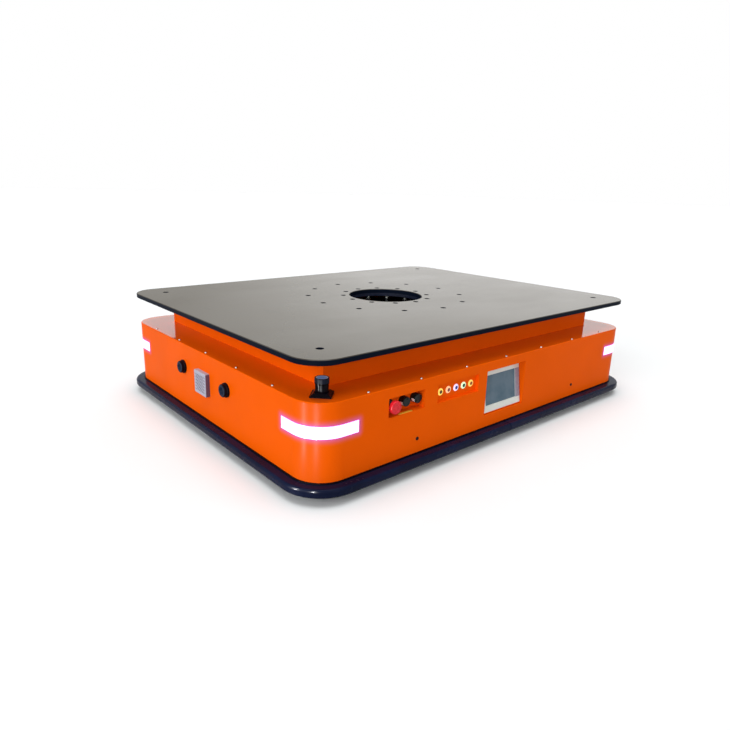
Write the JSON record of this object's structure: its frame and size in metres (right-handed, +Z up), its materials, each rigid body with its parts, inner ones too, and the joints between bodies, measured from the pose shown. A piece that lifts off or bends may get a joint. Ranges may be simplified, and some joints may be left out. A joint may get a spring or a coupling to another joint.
{
  "type": "autonomous mobile robot",
  "caption": "Low rectangular mobile robot with a drilled equipment plate over an orange shell, two drive wheels, swivel casters, scanners and a recessed operator panel.",
  "frame": {"origin": "on the floor under the middle of the robot", "axes": "+X along the long side away from the speaker end, +Y across away from the operator panel, +Z up"},
  "size_m": [1.6, 1.25, 0.38],
  "materials": {
    "black_plate": "satin black",
    "black_steel": "semi-gloss black",
    "orange_paint": "gloss orange",
    "frame_paint": "powder coat",
    "light_lens": "opal, lit",
    "light_channel": "mill",
    "bumper": "glossy black",
    "battery_case": "powder coat",
    "control_case": "powder coat",
    "drive_tread": "polyurethane tread",
    "cast_hub": "cast",
    "gearbox_metal": "machined",
    "motor_black": "satin",
    "sensor_black": "moulded",
    "zinc_fork": "zinc plated",
    "caster_tread": "polyurethane on a moulded hub",
    "lidar_foot": "moulded",
    "lidar_black": "gloss black",
    "lidar_blue": "blue",
    "speaker_grey": "pale grey",
    "speaker_mesh": "perforated",
    "estop_collar": "moulded",
    "estop_stem": "moulded",
    "estop_red": "gloss red",
    "selector_bezel": "gloss black",
    "selector_black": "gloss black",
    "button_bezel": "polished ring",
    "button_yellow": "translucent",
    "button_orange": "translucent",
    "button_blue": "translucent",
    "button_green": "translucent",
    "button_amber": "translucent",
    "hmi_silver": "satin silver",
    "hmi_glass": "dark screen",
    "hmi_case": "moulded"
  },
  "bodies": {
    "base": {"base_pan": "black_steel", "battery_pack": "battery_case", "bumper_front": "bumper", "bumper_rear": "bumper", "button_bezels": "button_bezel", "cable_ring": "black_steel", "caster_plates": "zinc_fork", "chassis_frame": "frame_paint", "control_box": "control_case", "corner_light_front_left": "light_lens", "corner_light_front_right": "light_lens", "corner_light_rear_left": "light_lens", "corner_light_rear_right": "light_lens", "deck_cover": "orange_paint", "drive_brackets": "frame_paint", "drive_motor_left": "motor_black", "drive_motor_right": "motor_black", "estop_collar": "estop_collar", "gearbox_left": "gearbox_metal", "gearbox_right": "gearbox_metal", "hmi_bezel": "hmi_silver", "hmi_housing": "hmi_case", "hmi_screen": "hmi_glass", "lidar_base_front": "lidar_foot", "lidar_base_rear": "lidar_foot", "lidar_cap_front": "lidar_blue", "lidar_cap_rear": "lidar_blue", "lidar_head_front": "lidar_black", "lidar_head_rear": "lidar_black", "light_channels": "light_channel", "range_sensor_left": "sensor_black", "range_sensor_right": "sensor_black", "riser_box": "orange_paint", "riser_frame": "frame_paint", "selector_bezels": "selector_bezel", "side_shell": "orange_paint", "speaker_grille": "speaker_mesh", "speaker_housing": "speaker_grey", "top_plate": "black_plate"},
    "drive_wheel_left": {"drive_tyre_left": "drive_tread", "drive_hub_left": "cast_hub"},
    "drive_wheel_right": {"drive_tyre_right": "drive_tread", "drive_hub_right": "cast_hub"},
    "caster_swivel_front_left": {"caster_fork_front_left": "zinc_fork"},
    "caster_roller_front_left": {"caster_wheel_front_left": "caster_tread"},
    "caster_swivel_front_right": {"caster_fork_front_right": "zinc_fork"},
    "caster_roller_front_right": {"caster_wheel_front_right": "caster_tread"},
    "caster_swivel_rear_left": {"caster_fork_rear_left": "zinc_fork"},
    "caster_roller_rear_left": {"caster_wheel_rear_left": "caster_tread"},
    "caster_swivel_rear_right": {"caster_fork_rear_right": "zinc_fork"},
    "caster_roller_rear_right": {"caster_wheel_rear_right": "caster_tread"},
    "estop_plunger": {"estop_stem": "estop_stem"},
    "estop_head": {"estop_button": "estop_red"},
    "selector_1": {"selector_knob_1": "selector_black"},
    "selector_2": {"selector_knob_2": "selector_black"},
    "button_1": {"push_button_1": "button_yellow"},
    "button_2": {"push_button_2": "button_orange"},
    "button_3": {"push_button_3": "button_blue"},
    "button_4": {"push_button_4": "button_green"},
    "button_5": {"push_button_5": "button_amber"}
  },
  "joints": [
    {"name": "drive_spin_left", "type": "hinge", "parent": "base", "child": "drive_wheel_left", "pos_m": [0, -0.46, 0.1], "axis": [0, 1, 0], "continuous": true},
    {"name": "drive_spin_right", "type": "hinge", "parent": "base", "child": "drive_wheel_right", "pos_m": [0, 0.46, 0.1], "axis": [0, 1, 0], "continuous": true},
    {"name": "caster_turn_front_left", "type": "hinge", "parent": "base", "child": "caster_swivel_front_left", "pos_m": [-0.6, -0.43, 0.125], "axis": [0, 0, 1], "continuous": true},
    {"name": "caster_roll_front_left", "type": "hinge", "parent": "caster_swivel_front_left", "child": "caster_roller_front_left", "pos_m": [-0.564, -0.43, 0.05], "axis": [0, 1, 0], "continuous": true},
    {"name": "caster_turn_front_right", "type": "hinge", "parent": "base", "child": "caster_swivel_front_right", "pos_m": [-0.6, 0.43, 0.125], "axis": [0, 0, 1], "continuous": true},
    {"name": "caster_roll_front_right", "type": "hinge", "parent": "caster_swivel_front_right", "child": "caster_roller_front_right", "pos_m": [-0.564, 0.43, 0.05], "axis": [0, 1, 0], "continuous": true},
    {"name": "caster_turn_rear_left", "type": "hinge", "parent": "base", "child": "caster_swivel_rear_left", "pos_m": [0.6, -0.43, 0.125], "axis": [0, 0, 1], "continuous": true},
    {"name": "caster_roll_rear_left", "type": "hinge", "parent": "caster_swivel_rear_left", "child": "caster_roller_rear_left", "pos_m": [0.636, -0.43, 0.05], "axis": [0, 1, 0], "continuous": true},
    {"name": "caster_turn_rear_right", "type": "hinge", "parent": "base", "child": "caster_swivel_rear_right", "pos_m": [0.6, 0.43, 0.125], "axis": [0, 0, 1], "continuous": true},
    {"name": "caster_roll_rear_right", "type": "hinge", "parent": "caster_swivel_rear_right", "child": "caster_roller_rear_right", "pos_m": [0.636, 0.43, 0.05], "axis": [0, 1, 0], "continuous": true},
    {"name": "estop_push", "type": "slide", "parent": "base", "child": "estop_plunger", "axis": [0, 1, 0], "range_m": [0, 0.004]},
    {"name": "estop_twist", "type": "hinge", "parent": "estop_plunger", "child": "estop_head", "pos_m": [-0.498, -0.561, 0.21125], "axis": [0, 1, 0], "range_deg": [0, 45], "stiffness_Nm_per_rad": 0.1},
    {"name": "selector_turn_1", "type": "hinge", "parent": "base", "child": "selector_1", "pos_m": [-0.4425, -0.561, 0.21125], "axis": [0, 1, 0], "range_deg": [-45, 45]},
    {"name": "selector_turn_2", "type": "hinge", "parent": "base", "child": "selector_2", "pos_m": [-0.3975, -0.561, 0.21125], "axis": [0, 1, 0], "range_deg": [-45, 45]},
    {"name": "button_push_1", "type": "slide", "parent": "base", "child": "button_1", "axis": [0, 1, 0], "range_m": [0, 0.0025], "stiffness_N_per_m": 400},
    {"name": "button_push_2", "type": "slide", "parent": "base", "child": "button_2", "axis": [0, 1, 0], "range_m": [0, 0.0025], "stiffness_N_per_m": 400},
    {"name": "button_push_3", "type": "slide", "parent": "base", "child": "button_3", "axis": [0, 1, 0], "range_m": [0, 0.0025], "stiffness_N_per_m": 400},
    {"name": "button_push_4", "type": "slide", "parent": "base", "child": "button_4", "axis": [0, 1, 0], "range_m": [0, 0.0025], "stiffness_N_per_m": 400},
    {"name": "button_push_5", "type": "slide", "parent": "base", "child": "button_5", "axis": [0, 1, 0], "range_m": [0, 0.0025], "stiffness_N_per_m": 400}
  ]
}
